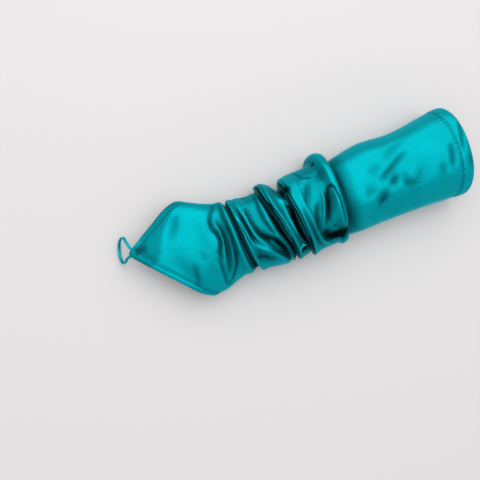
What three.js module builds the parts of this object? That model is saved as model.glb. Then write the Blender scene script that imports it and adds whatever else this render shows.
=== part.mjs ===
// Fingerless evening mitten of satin: a long sleeve with a pointed hand end, worn and
// pushed into gathers over the wrist, with turned hems and a loop for the middle finger.
// Millimetres. +X runs from the fingertips to the arm, +Z is up, the back of the hand.

import * as THREE from "three";
import { mergeVertices } from "three/addons/utils/BufferGeometryUtils.js";

// Stretches along the mitten
const TIP_LENGTH = 52;        // from the sides of the hand opening to the point
const HAND_LENGTH = 42;       // from the sides of the hand opening to the wrist
const GATHER_LENGTH = 104;    // gathered stretch, worn
const FOREARM_LENGTH = 122;   // smooth stretch up the arm
const SIDE_SKEW = 3.5;        // the little finger's side reaches this much past the mean,
                              // and the thumb's side is cut this much short of it
const PALM_CUT = 6;           // hollow of the edge under the palm
const POINT_ROUND = 3;        // rounding of the point
const SIDE_ROUND = 5;         // rounding of the opening's two sides
const ARM_CUT = 8;            // the arm edge reaches this much further on top

// Width and height of the worn sleeve at four places
const HAND_WIDTH = 93;
const HAND_HEIGHT = 27;
const WRIST_WIDTH = 66;
const WRIST_HEIGHT = 34;
const FOREARM_WIDTH = 78;
const FOREARM_HEIGHT = 42;
const ARM_WIDTH = 88;
const ARM_HEIGHT = 46;

// Lie of the sleeve
const SWAY = 18;              // the arm end lies this far to the little finger's side
const POINT_OFFSET = 16.5;    // the point lies off the wrist's axis, over the middle finger
const FLAT_SINK = 1.6;        // depth by which the underside is pressed flat

// Cloth
const WALL = 1.0;             // satin wall
const FOLD_RISE = 8;          // height of a full fold over the smooth sleeve
const SEW_GAP = 0.3;          // clearance between sewn layers
const HEM_WALL = 1.0;
const HAND_HEM = 6;           // width of the narrow hem
const ARM_HEM = 12;           // width of the wide hem
const HEM_SETBACK = 0.6;      // the hems end this far inside the folded edges

// Finger loop
const LOOP_CORD = 2.4;        // thickness of the cord
const LOOP_WIDTH = 22;        // across the finger, over the cord's middle line
const LOOP_HEIGHT = 15;
const LOOP_REACH = 7;         // from the point to the loop's lowest place
const LOOP_OFFSET = 5;        // the loop's middle lies this far towards the little finger
const LOOP_TAIL = 9;          // length of each end sewn under the point
const LOOP_START = 72;        // where the cord joins the ring and leaves it, in degrees
const LOOP_END = -232;

// Fineness of the mesh
const AROUND = 36;
const LOOP_SIDES = 8;
const LOOP_STEPS = 44;

// Fractions of the section's height and roundness
const WIDEST = 0.44;          // the section is widest at this share of its height
const ROUND_TOP = 0.86;       // exponents of the section: 1 is an ellipse, less is squarer
const ROUND_LOW = 0.72;
const ARC_SHARE = 0.9;        // arc over the section for each radian, by its half width

// Shapes of the cut edges and of the folds
const SIDE_NEAR = 0.75;       // the opening's sides are rounded from this cosine on
const PALM_SHAPE = 0.7;       // exponent of the palm's hollow: less is flatter
const ARM_SHAPE = 1.5;        // exponent of the arm edge's reach: more is narrower
const HANG_FROM = -0.35;      // folds start to hang over at this sine of their angle,
const HANG_FULL = 0.15;       // and do so fully from this one on
const WRINKLE_END = 0.35;     // height at a wrinkle's two ends, as a share of its middle
const WRINKLE_SHAPE = 0.8;    // exponent of a wrinkle along its run: less is fuller
const HEM_TURN = 2;           // how fast the hem's run grows past the sides, by the sine

// Where a place on a named stretch lies along x; the wrist is at 0
const along = {
  tip: (share) => -HAND_LENGTH - share * TIP_LENGTH,
  hand: (share) => -share * HAND_LENGTH,
  gather: (share) => share * GATHER_LENGTH,
  forearm: (share) => GATHER_LENGTH + share * FOREARM_LENGTH,
};

// Sections of the smooth sleeve under the folds. place is a share of the stretch, width
// and height are shares of the sizes named beside them, sway is a share of SWAY.
const SECTIONS = [
  { on: "tip", place: 1.3, width: 1.0, of: HAND_WIDTH, height: 0.63, up: HAND_HEIGHT, sway: 0.2 },
  { on: "tip", place: 0.97, width: 1.0, of: HAND_WIDTH, height: 0.71, up: HAND_HEIGHT, sway: 0.2 },
  { on: "tip", place: 0.53, width: 1.0, of: HAND_WIDTH, height: 0.85, up: HAND_HEIGHT, sway: 0.2 },
  { on: "hand", place: 1.0, width: 0.99, of: HAND_WIDTH, height: 1.0, up: HAND_HEIGHT, sway: 0.2 },
  { on: "hand", place: 0.48, width: 1.22, of: WRIST_WIDTH, height: 0.92, up: WRIST_HEIGHT, sway: 0.03 },
  { on: "gather", place: 0.0, width: 1.02, of: WRIST_WIDTH, height: 0.96, up: WRIST_HEIGHT, sway: 0.06 },
  { on: "gather", place: 0.29, width: 1.0, of: WRIST_WIDTH, height: 1.0, up: WRIST_HEIGHT, sway: 0.0 },
  { on: "gather", place: 0.53, width: 0.99, of: WRIST_WIDTH, height: 1.03, up: WRIST_HEIGHT, sway: -0.03 },
  { on: "gather", place: 0.75, width: 0.91, of: FOREARM_WIDTH, height: 0.88, up: FOREARM_HEIGHT, sway: 0.22 },
  { on: "gather", place: 1.0, width: 0.95, of: FOREARM_WIDTH, height: 0.95, up: FOREARM_HEIGHT, sway: 0.42 },
  { on: "forearm", place: 0.22, width: 0.96, of: FOREARM_WIDTH, height: 1.0, up: FOREARM_HEIGHT, sway: 0.56 },
  { on: "forearm", place: 0.62, width: 1.0, of: FOREARM_WIDTH, height: 1.05, up: FOREARM_HEIGHT, sway: 0.75 },
  { on: "forearm", place: 1.0, width: 0.99, of: ARM_WIDTH, height: 1.0, up: ARM_HEIGHT, sway: 0.97 },
  { on: "forearm", place: 1.16, width: 1.02, of: ARM_WIDTH, height: 1.0, up: ARM_HEIGHT, sway: 1.0 },
];

// Angles round the sleeve, in degrees, at which the fold tables give their values
const SIDES = { little: 0, back: 60, thumbward: 120, thumb: 180, palm: 270 };

// Rows of the cloth from the hand to the arm. Each runs right round the sleeve. at is its
// place on the stretch and rise its height as a share of FOLD_RISE, both given on the
// little finger's side, twice over the back, on the thumb's side and under the palm. lean
// is how far the cloth hangs over towards the hand, as a share of FOLD_RISE.
const FOLDS = [
  { name: "hand_wide", on: "hand", at: [0.571, 0.524, 0.476, 0.429, 0.429],
    rise: [0, 0, 0, 0, 0], lean: 0 },
  { name: "hand_narrow", on: "hand", at: [0.333, 0.333, 0.333, 0.262, 0.262],
    rise: [0, 0, -0.037, 0, 0], lean: 0 },
  { name: "first_front", on: "gather", at: [-0.087, -0.087, -0.077, -0.038, -0.058],
    rise: [0, 0.025, 0.025, 0.025, 0], lean: 0 },
  { name: "first_crest", on: "gather", at: [-0.038, -0.038, -0.014, 0.048, -0.01],
    rise: [0.2, 0.35, 0.325, 0.125, 0.037], lean: 0 },
  { name: "first_crease", on: "gather", at: [0.008, 0.01, 0.053, 0.115, 0.043],
    rise: [-0.375, -0.7, -0.7, -0.325, -0.15], lean: 0 },
  { name: "lip_front", on: "gather", at: [0.019, 0.023, 0.071, 0.129, 0.062],
    rise: [0.05, 0.075, 0.075, 0.075, 0.025], lean: 0.1 },
  { name: "lip_top", on: "gather", at: [0.038, 0.04, 0.092, 0.15, 0.082],
    rise: [0.3, 0.425, 0.425, 0.275, 0.075], lean: 0.05 },
  { name: "lip_back", on: "gather", at: [0.073, 0.077, 0.129, 0.183, 0.115],
    rise: [0.2, 0.175, 0.175, 0.1, 0.025], lean: 0 },
  { name: "billow", on: "gather", at: [0.141, 0.135, 0.192, 0.25, 0.173],
    rise: [0.325, 0.3, 0.3, 0.275, 0.062], lean: 0 },
  { name: "billow_dip", on: "gather", at: [0.207, 0.192, 0.274, 0.346, 0.231],
    rise: [0.175, 0.025, 0, 0, -0.1], lean: 0 },
  { name: "billow_crest", on: "gather", at: [0.274, 0.255, 0.351, 0.433, 0.288],
    rise: [0.225, 0.45, 0.4, 0.175, 0.075], lean: 0 },
  { name: "billow_fall", on: "gather", at: [0.29, 0.293, 0.385, 0.462, 0.317],
    rise: [0.075, -0.175, -0.25, -0.125, -0.1], lean: 0 },
  { name: "roll_crease", on: "gather", at: [0.31, 0.341, 0.421, 0.486, 0.346],
    rise: [-0.15, -0.75, -0.8, -0.375, -0.2], lean: 0 },
  { name: "roll_front", on: "gather", at: [0.317, 0.362, 0.44, 0.502, 0.365],
    rise: [0.475, 0.075, 0.05, 0, -0.05], lean: 0.2 },
  { name: "roll_top", on: "gather", at: [0.342, 0.394, 0.467, 0.527, 0.394],
    rise: [0.85, 0.65, 0.6, 0.225, 0.087], lean: 0.175 },
  { name: "roll_back", on: "gather", at: [0.387, 0.437, 0.504, 0.558, 0.428],
    rise: [0.5, 0.2, 0.125, 0.05, -0.037], lean: 0 },
  { name: "gully_floor", on: "gather", at: [0.447, 0.476, 0.538, 0.587, 0.466],
    rise: [0.075, -0.188, -0.375, -0.175, -0.125], lean: 0 },
  { name: "gully_crease", on: "gather", at: [0.519, 0.529, 0.583, 0.618, 0.514],
    rise: [-0.15, -0.75, -0.875, -0.35, -0.225], lean: 0 },
  { name: "collar_front", on: "gather", at: [0.538, 0.552, 0.604, 0.637, 0.537],
    rise: [0.5, 0.1, 0.075, 0.05, -0.037], lean: 0.3 },
  { name: "collar_top", on: "gather", at: [0.567, 0.585, 0.633, 0.665, 0.567],
    rise: [1.075, 0.775, 0.7, 0.45, 0.062], lean: 0.3 },
  { name: "collar_back", on: "gather", at: [0.613, 0.625, 0.671, 0.707, 0.615],
    rise: [1.025, 0.6, 0.475, 0.2, 0], lean: 0 },
  { name: "collar_panel", on: "gather", at: [0.726, 0.716, 0.736, 0.798, 0.712],
    rise: [0.575, 0.4, 0.375, 0.1, -0.075], lean: 0 },
  { name: "cuff_front", on: "gather", at: [0.837, 0.827, 0.865, 0.899, 0.827],
    rise: [0.575, 0.5, 0.425, 0.175, 0.025], lean: 0 },
  { name: "cuff_crest", on: "gather", at: [0.913, 0.909, 0.938, 0.966, 0.913],
    rise: [1.15, 0.975, 0.875, 0.4, 0.075], lean: 0 },
  { name: "cuff_back", on: "gather", at: [0.965, 0.958, 0.983, 1.008, 0.962],
    rise: [0.675, 0.575, 0.5, 0.175, -0.05], lean: -0.1 },
  { name: "cuff_step", on: "gather", at: [1.005, 0.996, 1.019, 1.048, 1.01],
    rise: [-0.075, -0.1, -0.1, -0.05, -0.1], lean: 0 },
  { name: "arm_start", on: "forearm", at: [0.09, 0.074, 0.078, 0.115, 0.09],
    rise: [0.075, 0, 0, 0, 0], lean: 0 },
  { name: "arm_low", on: "forearm", at: [0.279, 0.262, 0.266, 0.311, 0.279],
    rise: [0, 0, 0, 0, 0], lean: 0 },
  { name: "arm_middle", on: "forearm", at: [0.525, 0.525, 0.525, 0.557, 0.525],
    rise: [0, 0, 0, 0, 0], lean: 0 },
  { name: "arm_high", on: "forearm", at: [0.762, 0.787, 0.803, 0.787, 0.762],
    rise: [0, 0, 0, 0, 0], lean: 0 },
];

// Wrinkles and dents pressed into the cloth between two places, each a share of the
// stretch and an angle round the sleeve. wide and rise are shares of FOLD_RISE.
const WRINKLES = [
  { on: "hand", from: [0.31, 60], to: [0.07, 150], wide: 0.56, rise: -0.22 },
  { on: "hand", from: [0.48, 75], to: [0.29, 140], wide: 0.62, rise: -0.09 },
  { on: "tip", from: [0.6, 72], to: [0.25, 50], wide: 0.75, rise: -0.12 },
  { on: "tip", from: [0.46, 84], to: [0.34, 110], wide: 0.62, rise: -0.1 },
  { on: "gather", from: [0.05, 40], to: [0.19, 95], wide: 0.32, rise: 0.16 },
  { on: "gather", from: [0.19, 95], to: [0.35, 150], wide: 0.32, rise: 0.2 },
  { on: "gather", from: [0.115, 45], to: [0.19, 85], wide: 0.37, rise: -0.28 },
  { on: "gather", from: [0.19, 85], to: [0.29, 100], wide: 0.37, rise: -0.26 },
  { on: "gather", from: [0.25, 118], to: [0.33, 150], wide: 0.5, rise: -0.2 },
  { on: "gather", from: [0.85, 85], to: [0.89, 130], wide: 0.68, rise: -0.5 },
  { on: "gather", from: [0.83, 142], to: [0.97, 146], wide: 0.44, rise: -0.56 },
  { on: "gather", from: [0.77, 60], to: [0.81, 85], wide: 0.75, rise: -0.22 },
  { on: "gather", from: [0.75, 120], to: [0.865, 150], wide: 0.62, rise: 0.18 },
  { on: "forearm", from: [0.38, 45], to: [0.56, 80], wide: 0.88, rise: -0.18 },
  { on: "forearm", from: [0.3, 100], to: [0.46, 125], wide: 1.0, rise: -0.13 },
  { on: "forearm", from: [0.11, 60], to: [0.38, 110], wide: 1.1, rise: 0.1 },
];

// Smooth curve through uneven places, with slopes taken from the neighbours
function smooth(places, values, x) {
  const last = places.length - 1;
  const slope = (i) => {
    if (i === 0) return (values[1] - values[0]) / (places[1] - places[0]);
    if (i === last) return (values[last] - values[last - 1]) / (places[last] - places[last - 1]);
    const before = places[i] - places[i - 1];
    const after = places[i + 1] - places[i];
    const rate = (values[i] - values[i - 1]) / before;
    const next = (values[i + 1] - values[i]) / after;
    return (rate * after + next * before) / (before + after);
  };
  let i = 0;
  while (i < last - 1 && x >= places[i + 1]) i += 1;
  const step = places[i + 1] - places[i];
  const t = (x - places[i]) / step;
  const t2 = t * t;
  const t3 = t2 * t;
  return (2 * t3 - 3 * t2 + 1) * values[i] + (t3 - 2 * t2 + t) * step * slope(i)
    + (3 * t2 - 2 * t3) * values[i + 1] + (t3 - t2) * step * slope(i + 1);
}

// The same, for values given once round the sleeve at the five SIDES
function roundSleeve(values, angle) {
  const sides = Object.values(SIDES);
  const turn = ((angle % 360) + 360) % 360;
  const places = [sides[4] - 360, ...sides, 360, sides[1] + 360];
  return smooth(places, [values[4], ...values, values[0], values[1]], turn);
}

const sectionPlaces = SECTIONS.map((row) => along[row.on](row.place));
const halfWidths = SECTIONS.map((row) => row.width * row.of / 2);
const heights = SECTIONS.map((row) => row.height * row.up);
const sways = SECTIONS.map((row) => row.sway * SWAY);

function section(x) {
  return {
    half: smooth(sectionPlaces, halfWidths, x),
    height: smooth(sectionPlaces, heights, x),
    sway: smooth(sectionPlaces, sways, x),
  };
}

const power = (value, exponent) => Math.sign(value) * Math.abs(value) ** exponent;
const radians = (degrees) => degrees * Math.PI / 180;

// The pointed edge of the hand opening: two straight cuts over the back that meet in the
// point, and a hollow cut under the palm
const handSide = section(along.hand(1)).half;
const handSway = section(along.hand(1)).sway;

function handEdge(angle) {
  const cosine = Math.cos(radians(angle));
  const sine = Math.sin(radians(angle));
  const nearSide = Math.max(0, (Math.abs(cosine) - SIDE_NEAR) / (1 - SIDE_NEAR));
  const rounding = SIDE_ROUND * nearSide ** 2;
  if (sine < 0) {
    const hollow = PALM_CUT * (-sine) ** PALM_SHAPE;
    return along.hand(1) - SIDE_SKEW * cosine + rounding + hollow;
  }
  const across = power(cosine, ROUND_TOP) * handSide + handSway;
  const little = across > POINT_OFFSET;
  const side = little ? handSway + handSide : handSway - handSide;
  const corner = along.hand(1) + (little ? -SIDE_SKEW : SIDE_SKEW);
  const meeting = along.tip(1) - POINT_ROUND;
  const reach = (across - POINT_OFFSET) / (side - POINT_OFFSET);
  return meeting + Math.hypot(reach * (corner - meeting), POINT_ROUND) + rounding;
}

// Run of the hand hem along x: a slanted edge takes more than the hem's width
function handHemRun(angle) {
  const sideWidth = Math.cos(radians(angle)) > 0
    ? handSway + handSide - POINT_OFFSET
    : POINT_OFFSET - handSway + handSide;
  const slant = Math.hypot(1, TIP_LENGTH / sideWidth);
  const onBack = Math.min(1, Math.max(0, 0.5 + HEM_TURN * Math.sin(radians(angle))));
  return (HAND_HEM + HEM_SETBACK) * (1 + (slant - 1) * onBack);
}

// The arm edge: a straight cut, a little further on at the top
function armEdge(angle) {
  return along.forearm(1) + ARM_CUT * Math.max(0, Math.sin(radians(angle))) ** ARM_SHAPE;
}

// Height of the wrinkles at a place of the sleeve
function wrinkleRise(x, angle, half) {
  let rise = 0;
  for (const row of WRINKLES) {
    const perDegree = radians(half * ARC_SHARE);
    const start = along[row.on](row.from[0]);
    const run = [along[row.on](row.to[0]) - start, (row.to[1] - row.from[1]) * perDegree];
    let turn = angle - row.from[1];
    if (turn > 180) turn -= 360;
    const here = [x - start, turn * perDegree];
    const square = run[0] ** 2 + run[1] ** 2;
    const t = Math.min(1, Math.max(0, (here[0] * run[0] + here[1] * run[1]) / square));
    const away = (here[0] - t * run[0]) ** 2 + (here[1] - t * run[1]) ** 2;
    const taper = WRINKLE_END + (1 - WRINKLE_END) * Math.sin(Math.PI * t) ** WRINKLE_SHAPE;
    rise += row.rise * FOLD_RISE * taper * Math.exp(-away / (row.wide * FOLD_RISE) ** 2);
  }
  return rise;
}

// A point of the sleeve's outer face
function clothPoint(x, rise, angle) {
  const { half, height, sway } = section(x);
  const cosine = Math.cos(radians(angle));
  const sine = Math.sin(radians(angle));
  const middle = WIDEST * height;
  const upward = sine >= 0 ? height - middle : middle + FLAT_SINK;
  const exponent = sine >= 0 ? ROUND_TOP : ROUND_LOW;
  const outY = cosine / half;
  const outZ = sine / upward;
  const out = (rise + wrinkleRise(x, angle, half)) / Math.hypot(outY, outZ);
  const y = sway + half * power(cosine, exponent) + outY * out;
  const z = middle + upward * power(sine, exponent) + outZ * out;
  return new THREE.Vector3(x, y, Math.max(0, z));
}

// Angles of the mesh's columns, turned so that one of them runs through the point
const columnStep = 360 / AROUND;
const pointShare = ((POINT_OFFSET - handSway) / handSide) ** (1 / ROUND_TOP);
const pointAngle = Math.acos(pointShare) * 180 / Math.PI;
const columnStart = pointAngle - Math.round(pointAngle / columnStep) * columnStep;
const columns = Array.from({ length: AROUND }, (_, i) => columnStart + i * columnStep);

// Folds hang over on the back and the sides, and not where they lie on the table
function hang(angle) {
  const sine = Math.sin(radians(angle));
  const share = Math.min(1, Math.max(0, (sine - HANG_FROM) / (HANG_FULL - HANG_FROM)));
  return share * share * (3 - 2 * share);
}

// Rows over the hand, as shares of the way from the hem's line to the first fold
const HAND_ROWS = [0, 0.4, 0.75];

// The rows of the cloth at one angle: place and rise of each, from edge to edge
function rowsAt(angle) {
  const first = along[FOLDS[0].on](roundSleeve(FOLDS[0].at, angle));
  const edge = handEdge(angle);
  const hem = edge + handHemRun(angle);
  const rows = [{ x: edge, rise: 0 }];
  for (const share of HAND_ROWS) rows.push({ x: hem + share * (first - hem), rise: 0 });
  for (const fold of FOLDS) {
    rows.push({
      x: along[fold.on](roundSleeve(fold.at, angle)) - fold.lean * FOLD_RISE * hang(angle),
      rise: roundSleeve(fold.rise, angle) * FOLD_RISE,
    });
  }
  rows.push({ x: armEdge(angle) - ARM_HEM - HEM_SETBACK, rise: 0 });
  rows.push({ x: armEdge(angle), rise: 0 });
  return rows;
}

// Lines along the sleeve, one for each column; a place is counted in rows from the hand
const rowCount = HAND_ROWS.length + FOLDS.length + 3;
const columnCurves = columns.map((angle) => {
  const rows = rowsAt(angle);
  const numbers = rows.map((_, i) => i);
  return {
    x: (place) => smooth(numbers, rows.map((row) => row.x), place),
    rise: (place) => smooth(numbers, rows.map((row) => row.rise), place),
  };
});

function surfacePoint(column, place) {
  const curve = columnCurves[column];
  return clothPoint(curve.x(place), curve.rise(place), columns[column]);
}

// Places of the mesh's rows: one step between rows at the hems and on the smooth arm, and
// two in the folds
const armRows = FOLDS.filter((fold) => fold.on === "forearm").length + 2;
const places = [];
for (let i = 0; i < rowCount; i += 1) {
  places.push(i);
  if (i > 0 && i < rowCount - armRows) places.push(i + 0.5);
}

const grid = places.map((place) => columns.map((_, column) => surfacePoint(column, place)));

// Outward directions of a grid that closes round its columns
function outward(points) {
  const rows = points.length;
  const count = points[0].length;
  return points.map((row, i) => row.map((_, j) => {
    const before = points[Math.max(0, i - 1)][j];
    const after = points[Math.min(rows - 1, i + 1)][j];
    const left = points[i][(j + count - 1) % count];
    const right = points[i][(j + 1) % count];
    const forward = after.clone().sub(before);
    return right.clone().sub(left).cross(forward).normalize();
  }));
}

// The same grid moved along its outward directions
function offset(points, normals, distance) {
  return points.map((row, i) => row.map((p, j) => p.clone().addScaledVector(normals[i][j], distance)));
}

// Closed wall between an outer and an inner grid
function wallGeometry(outer, inner) {
  const rows = outer.length;
  const count = outer[0].length;
  const points = [...outer.flat(), ...inner.flat()];
  const index = [];
  const at = (side, i, j) => side * rows * count + i * count + (j % count);
  const quad = (a, b, c, d) => index.push(a, b, c, a, c, d);
  for (let i = 0; i < rows - 1; i += 1) {
    for (let j = 0; j < count; j += 1) {
      quad(at(0, i, j), at(0, i, j + 1), at(0, i + 1, j + 1), at(0, i + 1, j));
      quad(at(1, i, j), at(1, i + 1, j), at(1, i + 1, j + 1), at(1, i, j + 1));
    }
  }
  for (let j = 0; j < count; j += 1) {
    quad(at(0, 0, j), at(1, 0, j), at(1, 0, j + 1), at(0, 0, j + 1));
    const end = rows - 1;
    quad(at(0, end, j), at(0, end, j + 1), at(1, end, j + 1), at(1, end, j));
  }
  const geometry = new THREE.BufferGeometry();
  geometry.setAttribute("position", new THREE.Float32BufferAttribute(
    points.flatMap((p) => [p.x, p.y, p.z]), 3));
  geometry.setIndex(index);
  return geometry;
}

// Materials: the satin's face, its duller back on the hems, and the cord
const satin = { color: 0x079fac, roughness: 0.36, metalness: 0.1 };
const satinBack = { color: 0x0a8c98, roughness: 0.5, metalness: 0.05 };

function piece(name, geometry, finish) {
  const mesh = new THREE.Mesh(geometry, new THREE.MeshStandardMaterial(finish));
  mesh.name = name;
  return mesh;
}

// Sleeve
const normals = outward(grid);
const innerFace = offset(grid, normals, -WALL);
const sleeve = piece("sleeve", wallGeometry(grid, innerFace), satin);

// Hems: bands that follow the inner face of the sleeve from near an edge to the next row
function hemGeometry(edgeRow, endRow, width) {
  const setback = HEM_SETBACK / (HEM_SETBACK + width);
  const between = (a, b) => a.map((p, j) => p.clone().lerp(b[j], setback));
  const rows = [between(innerFace[edgeRow], innerFace[endRow]), innerFace[endRow]];
  const facing = [between(normals[edgeRow], normals[endRow]), normals[endRow]];
  if (edgeRow > endRow) {
    rows.reverse();
    facing.reverse();
  }
  const outer = offset(rows, facing, -SEW_GAP);
  const inner = offset(rows, facing, -SEW_GAP - HEM_WALL);
  return wallGeometry(outer, inner);
}

const lastRow = places.length - 1;
const handHem = piece("hand_hem", hemGeometry(0, 1, HAND_HEM), satinBack);
const armHem = piece("arm_hem", hemGeometry(lastRow, lastRow - 1, ARM_HEM), satinBack);

// Finger loop: a cord that leaves the underside of the point, goes round the finger and
// comes back beside its start
const FINGER_SLANT = 0.2;     // the finger points this much to the little finger's side
const LOOP_TURNS = 12;
const pointColumn = Math.round((pointAngle - columnStart) / columnStep);
const point = surfacePoint(pointColumn, 0);
const under = WALL + 2 * SEW_GAP + HEM_WALL + LOOP_CORD / 2;

function loopPath() {
  const tail = (offset) => [LOOP_TAIL, LOOP_TAIL / 2].map((back) =>
    new THREE.Vector3(point.x + back, point.y + offset, point.z - under));
  const middle = LOOP_CORD / 2 + LOOP_HEIGHT / 2;
  const ring = [];
  for (let i = 0; i <= LOOP_TURNS; i += 1) {
    const angle = radians(LOOP_START + (LOOP_END - LOOP_START) * i / LOOP_TURNS);
    const across = LOOP_WIDTH / 2 * Math.cos(angle);
    const low = (1 - Math.sin(angle)) / 2;
    ring.push(new THREE.Vector3(
      point.x - LOOP_REACH * low + FINGER_SLANT * across,
      point.y + LOOP_OFFSET + across,
      middle + LOOP_HEIGHT / 2 * Math.sin(angle),
    ));
  }
  const start = tail(LOOP_CORD + SEW_GAP);
  const end = tail(-LOOP_CORD / 2).reverse();
  return new THREE.CatmullRomCurve3([...start, ...ring, ...end]);
}

function cordGeometry(path) {
  const outline = new THREE.Shape();
  for (let i = 0; i < LOOP_SIDES; i += 1) {
    const angle = 2 * Math.PI * i / LOOP_SIDES;
    const place = [LOOP_CORD / 2 * Math.cos(angle), LOOP_CORD / 2 * Math.sin(angle)];
    if (i === 0) outline.moveTo(...place);
    else outline.lineTo(...place);
  }
  outline.closePath();
  const geometry = new THREE.ExtrudeGeometry(outline, { steps: LOOP_STEPS, extrudePath: path });
  geometry.deleteAttribute("normal");
  geometry.deleteAttribute("uv");
  return mergeVertices(geometry, 1e-4);
}

const fingerLoop = piece("finger_loop", cordGeometry(loopPath()), satin);

// The assembly stands with its origin under the middle of its box
const mitten = new THREE.Group();
mitten.add(sleeve, handHem, armHem, fingerLoop);
const box = new THREE.Box3().setFromObject(mitten);
const centre = box.getCenter(new THREE.Vector3());
mitten.position.set(-centre.x, -centre.y, -box.min.z);

export default mitten;
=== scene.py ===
# Looks of the fingerless evening mitten: satin cloth with its gathers, hems, stitching and
# finger loop, on a pale table under soft light.

import math

import bpy
import numpy as np
from mathutils import Matrix, Vector


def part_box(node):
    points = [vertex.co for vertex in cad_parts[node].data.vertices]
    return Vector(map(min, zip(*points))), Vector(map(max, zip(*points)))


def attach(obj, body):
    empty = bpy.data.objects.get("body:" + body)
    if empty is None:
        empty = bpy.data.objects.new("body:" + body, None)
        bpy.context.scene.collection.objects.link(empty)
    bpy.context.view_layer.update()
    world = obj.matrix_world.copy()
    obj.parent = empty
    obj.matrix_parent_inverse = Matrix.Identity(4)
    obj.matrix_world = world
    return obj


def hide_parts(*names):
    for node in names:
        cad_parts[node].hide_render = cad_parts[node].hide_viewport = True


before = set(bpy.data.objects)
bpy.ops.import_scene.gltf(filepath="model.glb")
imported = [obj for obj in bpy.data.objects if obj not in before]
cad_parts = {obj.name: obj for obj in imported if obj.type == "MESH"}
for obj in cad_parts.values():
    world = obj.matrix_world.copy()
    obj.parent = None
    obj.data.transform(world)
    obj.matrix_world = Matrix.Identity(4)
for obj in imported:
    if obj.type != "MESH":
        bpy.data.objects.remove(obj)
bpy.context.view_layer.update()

MM = 0.001

# Stretches along the mitten, in millimetres
TIP_LENGTH = 52
HAND_LENGTH = 42
GATHER_LENGTH = 104
FOREARM_LENGTH = 122
SIDE_SKEW = 3.5               # how much longer the hand end is at the little finger's side
PALM_CUT = 6
PALM_CURVE = 0.7
POINT_ROUND = 3
SIDE_ROUND = 5
SIDE_FROM = 0.75              # cosine of the angle from which the edge rounds at its sides
ARM_CUT = 8
ARM_CURVE = 1.5

# Width and height of the worn sleeve at four places
HAND_WIDTH = 93
HAND_HEIGHT = 27
WRIST_WIDTH = 66
WRIST_HEIGHT = 34
FOREARM_WIDTH = 78
FOREARM_HEIGHT = 42
ARM_WIDTH = 88
ARM_HEIGHT = 46

# Lie of the sleeve
SWAY = 18
POINT_OFFSET = 16.5
FLAT_SINK = 1.6
HANG_FROM = -0.35             # sine of the angle from which folds hang over, and its run
HANG_RUN = 0.5

# Cloth
CLOTH = 0.6                   # thickness of the satin
HEM_CLOTH = 0.6
HEM_GAP = 0.15                # between the sewn layers
HAND_HEM = 6
ARM_HEM = 12
HEM_SETBACK = 0.6
SLANT_RUN = 2                 # how fast the hand hem's slant fades below the sides

# Section of the sleeve: height of its widest place, exponents above and below it, and the
# arc for each radian as a share of the half width
WIDEST = 0.44
ROUND_TOP = 0.86
ROUND_LOW = 0.72
ARC = 0.9

# Hems: the stitches' distance inside the edge, puff, groove, puckers and their pitch
HAND_STITCH = 4.6
ARM_STITCH = 11.0
HAND_PUFF = 0.35
ARM_PUFF = 0.3
PUFF_CURVE = 0.7
STITCH_GROOVE = 0.45
GROOVE_REACH = 1.1
HAND_PUCKER = 0.34
ARM_PUCKER = 0.36
HAND_PITCH = 3.6
ARM_PITCH = 4.6
PUCKER_REACH = 2.6            # from the stitches away from the edge
EDGE_REACH = 0.7              # and towards the edge, as a share of it
PUCKER_WANDER = (1.2, 5.6)    # radians that puckers wander off their pitch, and over how many
PUCKER_FADE = (0.35, 8.7, 1)  # share that puckers fade, over how many, and its phase

# Thread
THREAD = 0.5
THREAD_ARCH = 0.16            # height of a stitch's middle over the cloth
THREAD_SINK = 0.22            # depth of its ends in the cloth
THREAD_COLOUR = (0.0, 0.085, 0.11, 1)
STRAND_RINGS = 7
STRAND_SIDES = 6
STRAND_BOW = 3                # exponent of its bow: the higher, the flatter its middle
STRAND_TAPER = (0.8, 6)       # how much its section loses at its ends, and the exponent
HAND_THREAD = (2.6, 1.9)      # pitch and length of the stitches
ARM_THREAD = (3.2, 2.3)
ROW_NUDGE = 0.03              # part of a row on both sides of a line, to see where it faces
TACK_PLACES = (0.5, 1.2)
TACK_COUNT = 11
TACK_WIDTH = 7.5
TACK_SINK = 0.02
TACK_REACH = 6                # columns on each side of the point that the tack may lie on

# Finger loop, as in the solids, but flat
LOOP_CORD = 2.4
LOOP_BREADTH = 2.7
LOOP_THICKNESS = 1.5
LOOP_WIDTH = 22
LOOP_HEIGHT = 15
LOOP_REACH = 7
LOOP_OFFSET = 5
LOOP_TAIL = 9
LOOP_START = 52               # degrees at which its ring begins and ends
LOOP_END = -218
SEW_GAP = 0.2                 # between the hem and the loop's ends
FINGER_SLANT = 0.2
LOOP_KNOTS = 13
LOOP_STEPS = 160
LOOP_SIDES = 12
LOOP_SQUARE = 0.7             # exponent of its section's curve
TAIL_ARC = 0.6                # radians on each side of the point in which its ends lie
TAIL_COLUMNS = 61

# Fineness of the cloth mesh
AROUND = 160
CROWDING = 0.45               # how much closer the columns lie over the back
TURN_STEPS = 20001            # of the table that finds the point's column
RIM_STEPS = 4
HEM_STEPS = 9
HAND_ROWS = (0, 0.4, 0.75)    # shares of the way from the hand hem's line to the first fold
HAND_STEPS = (6, 10, 8, 5)    # mesh rows from the edge to the line, and after each share
ARM_STEPS = 9                 # mesh rows over the arm hem

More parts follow.
